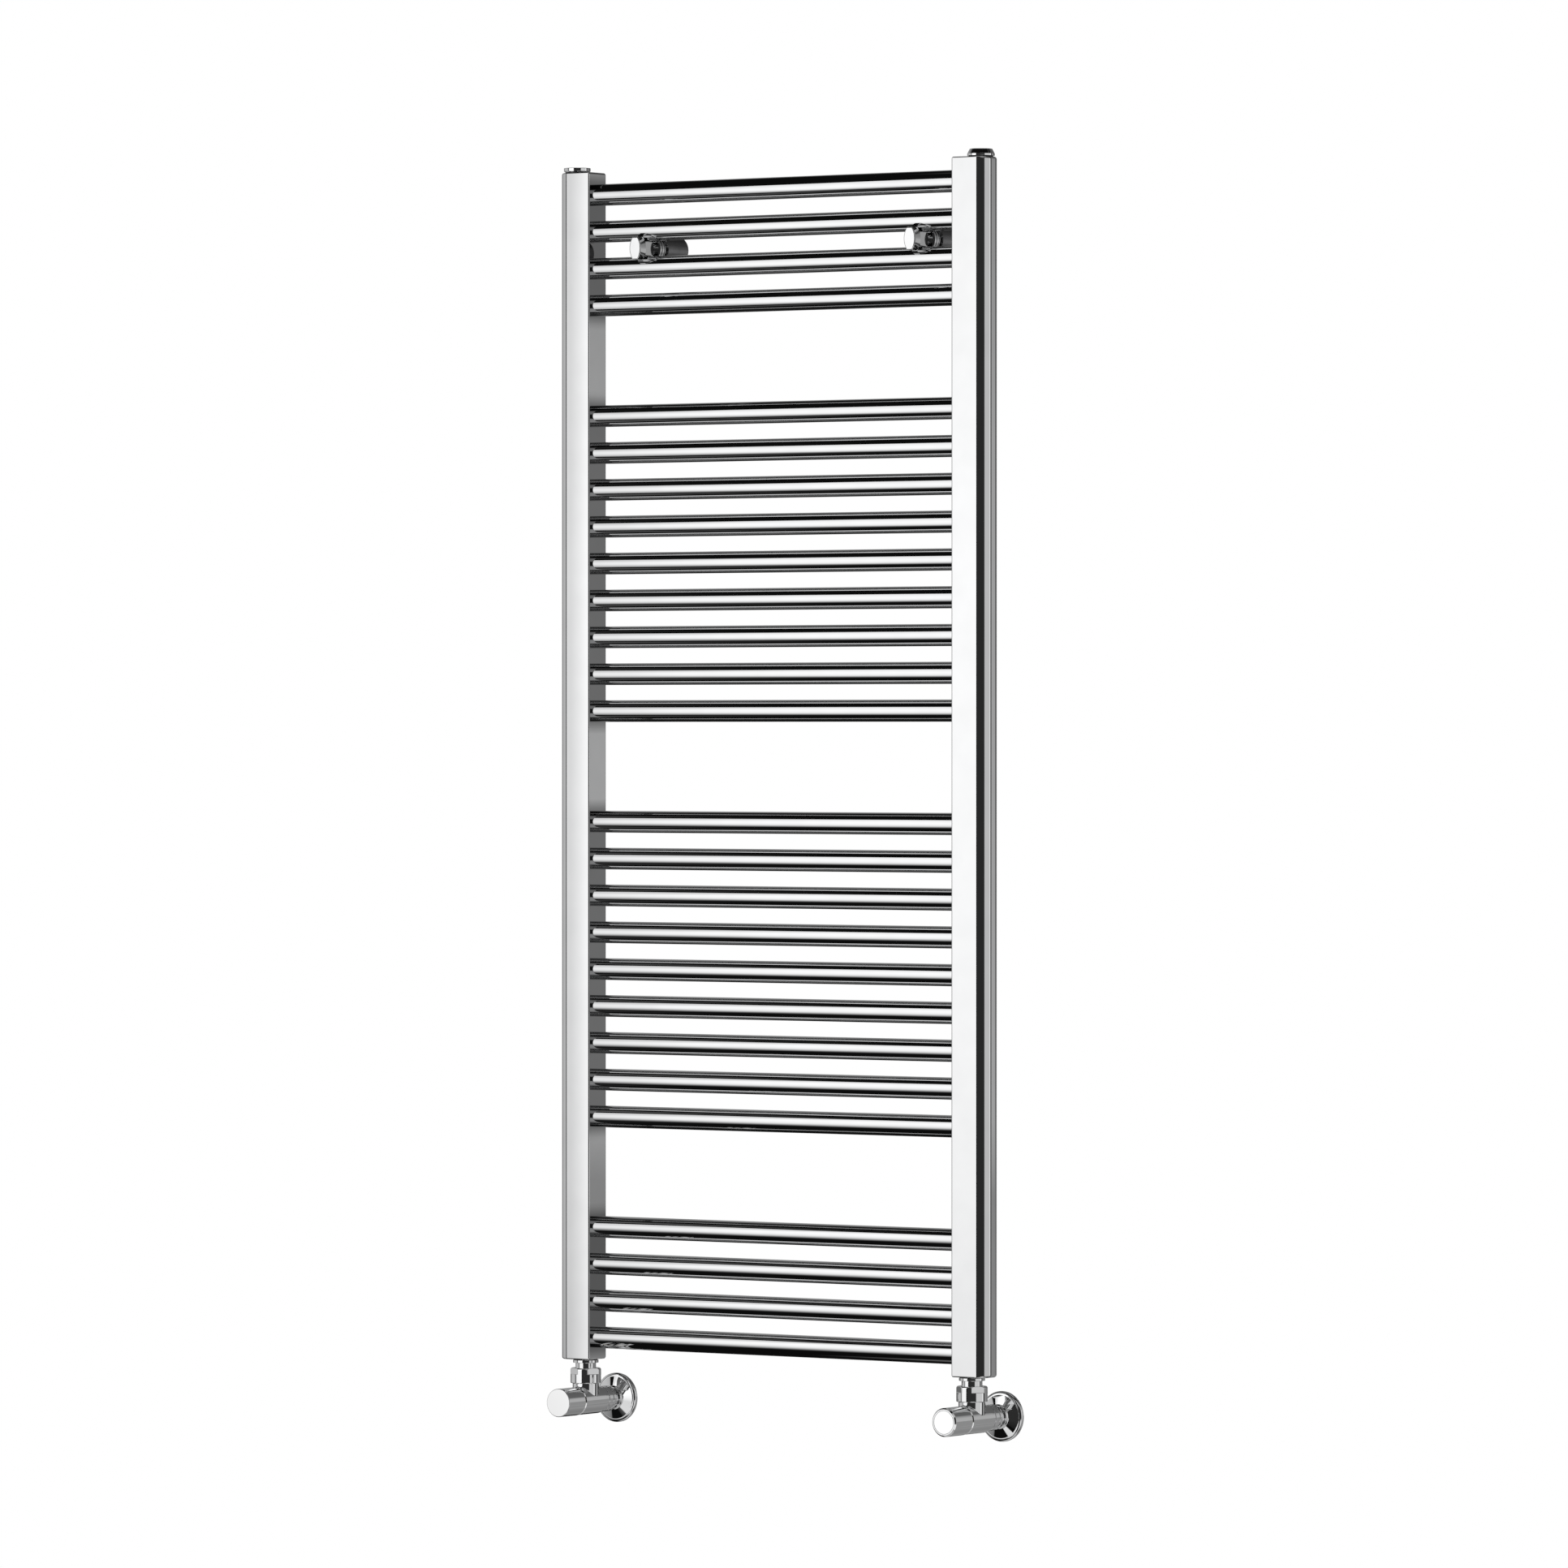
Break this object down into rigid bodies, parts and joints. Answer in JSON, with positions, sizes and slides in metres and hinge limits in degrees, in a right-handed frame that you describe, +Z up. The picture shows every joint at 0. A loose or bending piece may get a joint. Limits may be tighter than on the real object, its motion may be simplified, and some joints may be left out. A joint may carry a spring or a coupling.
{
  "type": "towel radiator with valves",
  "caption": "Chromed ladder towel radiator: two upright headers, round cross tubes with towel gaps, wall brackets, and a lockshield and a handwheel angle valve below.",
  "frame": {"origin": "on the wall plane, midway between the screw holes of the two wall brackets", "axes": "+Z up along the headers, +Y towards the wall, +X to the right seen from the front"},
  "size_m": [0.52, 0.105, 1.2746],
  "materials": {
    "rail_chrome": "polished chrome plate on steel tube",
    "fitting_chrome": "polished chrome plate on brass",
    "bracket_chrome": "chrome plated moulded plastic",
    "sleeve_plastic": "dark plated moulded plastic",
    "valve_brass": "turned brass",
    "seal_rubber": "black rubber",
    "screw_steel": "blackened steel"
  },
  "bodies": {
    "rail": {"tube_01": "rail_chrome", "tube_02": "rail_chrome", "tube_03": "rail_chrome", "tube_04": "rail_chrome", "tube_05": "rail_chrome", "tube_06": "rail_chrome", "tube_07": "rail_chrome", "tube_08": "rail_chrome", "tube_09": "rail_chrome", "tube_10": "rail_chrome", "tube_11": "rail_chrome", "tube_12": "rail_chrome", "tube_13": "rail_chrome", "tube_14": "rail_chrome", "tube_15": "rail_chrome", "tube_16": "rail_chrome", "tube_17": "rail_chrome", "tube_18": "rail_chrome", "tube_19": "rail_chrome", "tube_20": "rail_chrome", "tube_21": "rail_chrome", "tube_22": "rail_chrome", "tube_23": "rail_chrome", "tube_24": "rail_chrome", "tube_25": "rail_chrome", "tube_26": "rail_chrome", "header_left": "rail_chrome", "header_right": "rail_chrome", "end_cap_left_top": "rail_chrome", "end_cap_left_foot": "rail_chrome", "end_cap_right_top": "rail_chrome", "end_cap_right_foot": "rail_chrome", "vent_plug": "fitting_chrome", "blanking_plug": "fitting_chrome", "union_nuts": "fitting_chrome", "pipe_nuts": "fitting_chrome", "tailpiece_left": "fitting_chrome", "valve_body_left": "fitting_chrome", "front_clamp_left": "bracket_chrome", "rear_clamp_left": "bracket_chrome", "wall_sleeve_left": "sleeve_plastic", "bonnet_left": "valve_brass", "tailpiece_right": "fitting_chrome", "valve_body_right": "fitting_chrome", "front_clamp_right": "bracket_chrome", "rear_clamp_right": "bracket_chrome", "wall_sleeve_right": "sleeve_plastic", "bonnet_right": "valve_brass", "seals": "seal_rubber", "grub_screws": "screw_steel"},
    "handwheel_knob": {"handwheel": "fitting_chrome", "handwheel_disc": "fitting_chrome", "spindle_right": "valve_brass"},
    "control_plug": {"valve_plug_right": "valve_brass"},
    "lockshield_cover": {"lockshield_cap": "fitting_chrome"},
    "lockshield_stem": {"spindle_left": "valve_brass"},
    "lockshield_plug": {"valve_plug_left": "valve_brass"},
    "vent_needle": {"vent_screw": "valve_brass"},
    "rosette_cover_left": {"rosette_left": "fitting_chrome"},
    "rosette_cover_right": {"rosette_right": "fitting_chrome"}
  },
  "joints": [
    {"name": "handwheel_turn", "type": "hinge", "parent": "rail", "child": "handwheel_knob", "pos_m": [0.2293, -0.055, -1.16314], "axis": [0, -1, 0], "range_deg": [0, 900]},
    {"name": "control_plug_slide", "type": "slide", "parent": "rail", "child": "control_plug", "axis": [0, -1, 0], "range_m": [0, 0.004]},
    {"name": "lockshield_cap_pull", "type": "slide", "parent": "rail", "child": "lockshield_cover", "axis": [0, -1, 0], "range_m": [0, 0.03]},
    {"name": "lockshield_turn", "type": "hinge", "parent": "rail", "child": "lockshield_stem", "pos_m": [-0.2407, -0.055, -1.16314], "axis": [0, -1, 0], "range_deg": [0, 900]},
    {"name": "lockshield_plug_slide", "type": "slide", "parent": "rail", "child": "lockshield_plug", "axis": [0, -1, 0], "range_m": [0, 0.004]},
    {"name": "vent_screw_turn", "type": "hinge", "parent": "rail", "child": "vent_needle", "pos_m": [-0.2512, -0.055, 0.0799], "axis": [0, 0, 1], "range_deg": [0, 270]},
    {"name": "rosette_left_slide", "type": "slide", "parent": "rail", "child": "rosette_cover_left", "axis": [0, -1, 0], "range_m": [0, 0.007]},
    {"name": "rosette_right_slide", "type": "slide", "parent": "rail", "child": "rosette_cover_right", "axis": [0, -1, 0], "range_m": [0, 0.007]}
  ],
  "couplings": [
    {"joint": "control_plug_slide", "follows": "handwheel_turn", "m_per_rad": 0.0002546},
    {"joint": "lockshield_turn", "follows": "lockshield_plug_slide", "rad_per_m": 3927}
  ]
}
